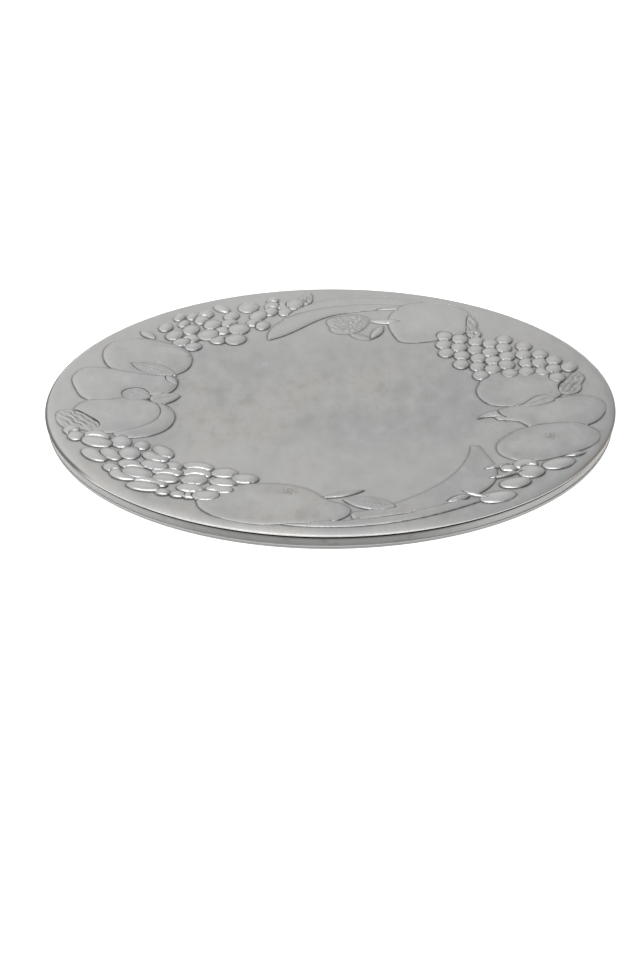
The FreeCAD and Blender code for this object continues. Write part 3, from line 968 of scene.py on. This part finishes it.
def ring_metal():
    """Metal brushed round the edge, darker than the casting, with black painted shade in its corners."""
    s = Shading("ring_metal")
    rings = s.turning(s.math("ADD", s.along("Z"), s.radius()), 0.30 * MM)
    blotches = s.noise(7 * MM, 4.0)
    grain = s.noise(0.5 * MM, 2.0)
    tone = s.mix(s.ramp(rings, 0.3, 0.7), grey(0.14, 0.02), grey(0.22, 0.01))
    tone = s.mix(s.ramp(blotches, 0.5, 0.75, 0.0, 0.5), tone, grey(0.11, 0.03))
    # Painted reflections: the ring is painted paler towards both sides.
    painted_side_reflections = s.math("MAXIMUM", s.ramp(s.along("X"), -0.25 * PLATE_RADIUS, -0.8 * PLATE_RADIUS, 0.0, 0.4),
                  s.ramp(s.along("X"), 0.2 * PLATE_RADIUS, 0.6 * PLATE_RADIUS, 0.0, 0.45))
    tone = s.mix(painted_side_reflections, tone, grey(0.48, 0.02))
    # Painted reflection: the foot below the bead is painted lighter, as if it mirrored the pale floor.
    painted_floor_reflection = s.ramp(s.along("Z"), BEAD_HEIGHT + 0.6 * MM, BEAD_HEIGHT - 0.2 * MM, 0.0, 0.6)
    tone = s.mix(painted_floor_reflection, tone, grey(0.28, 0.01))
    # Painted highlight: a lighter line along the bead.
    from_bead = s.math("ABSOLUTE", s.math("SUBTRACT", s.along("Z"), BEAD_HEIGHT), 0)
    tone = s.mix(s.ramp(from_bead, 1.5 * BEAD_RADIUS, 0.6 * BEAD_RADIUS, 0.0, 0.5), tone, grey(0.50, 0.01))
    # Painted shade under the lip, darkest at the front and weaker at the sides.
    aside = s.math("ABSOLUTE", s.math("SUBTRACT", s.along("X"), 0.1 * PLATE_RADIUS), 0)
    dark = s.ramp(aside, 0.15 * PLATE_RADIUS, 0.5 * PLATE_RADIUS, 0.9, 0.45)
    tone = s.mix(s.math("MULTIPLY", s.attribute("patina"), dark), tone, grey(0.08, 0.02))
    roughness = s.ramp(rings, 0.3, 0.7, 0.36, 0.48)
    normal = s.bump(rings, 0.04 * MM, 0.5)
    normal = s.bump(grain, 0.01 * MM, 0.5, normal)
    return s.finish(tone, roughness, normal)


# The stage

FLOOR_REACH = 6.0
SKY_LEVELS = ((0.0, 0.38), (0.2, 0.58), (0.4, 0.72), (0.62, 0.69), (0.8, 0.72), (0.93, 0.82), (1.0, 0.92))
SKY_WARMTH = 0.985  # how much blue there is beside red and green
SKY_TO_THE_LEFT = -0.45  # the light is stronger towards -X
BOX_PLACE = (-0.12, -0.58, 0.95)
BOX_WIDTH = 1.9
BOX_DEPTH = 0.34
BOX_POWER = 7.5
BOX_COLOUR = (0.94, 0.98, 1.0)


def pale_floor():
    """A large, nearly white sheet under the plate."""
    mesh = bpy.data.meshes.new("floor")
    corners = [(-1, -1), (1, -1), (1, 1), (-1, 1)]
    mesh.from_pydata([(x * FLOOR_REACH, y * FLOOR_REACH, TABLE) for x, y in corners], [], [(0, 1, 2, 3)])
    floor = bpy.data.objects.new("floor", mesh)
    bpy.context.scene.collection.objects.link(floor)
    s = Shading("floor_paper")
    s.put(s.shader, "Base Color", s.mix(s.noise(0.4), (0.90, 0.90, 0.90, 1), (0.92, 0.92, 0.92, 1)))
    s.put(s.shader, "Roughness", 0.95)
    s.put(s.shader, "Specular IOR Level", 0.05)
    s.put(s.shader, "Emission Color", (1, 1, 1, 1))
    s.put(s.shader, "Emission Strength", 0.7)
    floor.data.materials.append(s.material)


def studio_world():
    """Soft light from all round, dim near the horizon and bright overhead."""
    world = bpy.data.worlds.new("studio")
    bpy.context.scene.world = world
    world.use_nodes = True
    nodes = world.node_tree.nodes
    links = world.node_tree.links
    parts = nodes.new("ShaderNodeSeparateXYZ")
    links.new(nodes.new("ShaderNodeTexCoord").outputs["Generated"], parts.inputs["Vector"])
    ramp = nodes.new("ShaderNodeValToRGB")
    links.new(parts.outputs["Z"], ramp.inputs["Fac"])
    for _ in range(len(SKY_LEVELS) - 2):
        ramp.color_ramp.elements.new(0.5)
    for element, (position, level) in zip(ramp.color_ramp.elements, SKY_LEVELS):
        element.position = position
        element.color = (level, level, level * SKY_WARMTH, 1)
    links.new(ramp.outputs["Color"], nodes["Background"].inputs["Color"])
    sideways = nodes.new("ShaderNodeMath")
    sideways.operation = "MULTIPLY_ADD"
    links.new(parts.outputs["X"], sideways.inputs[0])
    sideways.inputs[1].default_value = SKY_TO_THE_LEFT
    sideways.inputs[2].default_value = 1.0
    links.new(sideways.outputs[0], nodes["Background"].inputs["Strength"])


def soft_box(name, place, width, depth, power):
    """A large rectangular light that faces the plate."""
    data = bpy.data.lights.new(name, "AREA")
    data.shape = "RECTANGLE"
    data.size = width
    data.size_y = depth
    data.energy = power
    data.color = BOX_COLOUR
    light = bpy.data.objects.new(name, data)
    bpy.context.scene.collection.objects.link(light)
    light.location = place
    light.rotation_euler = (-Vector(place)).to_track_quat("-Z", "Y").to_euler()


ELEVATION = math.radians(25.5)
CAMERA_DISTANCE = 8 * PLATE_RADIUS
LENS = 85.0
SENSOR_WIDTH = 36
AIM_BELOW = math.radians(1.968)  # below the plate, which then sits above the picture's middle
AIM_LEFT = math.radians(0.297)
ROLL = math.radians(-0.33)


def camera():
    """Looks along +Y and down on the plate."""
    data = bpy.data.cameras.new("camera")
    data.lens = LENS
    data.sensor_width = SENSOR_WIDTH
    made = bpy.data.objects.new("camera", data)
    bpy.context.scene.collection.objects.link(made)
    back = Vector((0, -math.cos(ELEVATION), math.sin(ELEVATION)))
    made.location = Vector((0, 0, DISC_BOTTOM)) + CAMERA_DISTANCE * back
    aim = Euler((math.pi / 2 - ELEVATION - AIM_BELOW, 0, AIM_LEFT)).to_quaternion()
    made.rotation_euler = (aim @ Euler((0, 0, ROLL)).to_quaternion()).to_euler()
    bpy.context.scene.camera = made


# Putting it together

def main():
    bpy.context.scene.view_settings.view_transform = "Standard"
    relief = relief_metal("relief_metal", 0.55, 0.27)
    # Its lighter colour paints the polished pieces' highlights brighter.
    bright = relief_metal("bright_relief_metal", 0.60, 0.19)
    edges = []
    owners = []
    for node in ORNAMENTS:
        for outline in flat_backs(node):
            edges.append(evenly_spaced(outline, OUTLINE_SPACING))
            owners.append(node)
    shared = meets_neighbour(edges)
    for number, node in enumerate(ORNAMENTS):
        borders = [(edge, touched) for edge, touched, owner in zip(edges, shared, owners) if owner == node]
        ornament(node, borders, bright if node in BRIGHT else relief, 1000 * number)
    plate_disc(edges, disc_metal())
    foot_ring(ring_metal())
    pale_floor()
    studio_world()
    soft_box("near_box", BOX_PLACE, BOX_WIDTH, BOX_DEPTH, BOX_POWER)
    camera()


main()
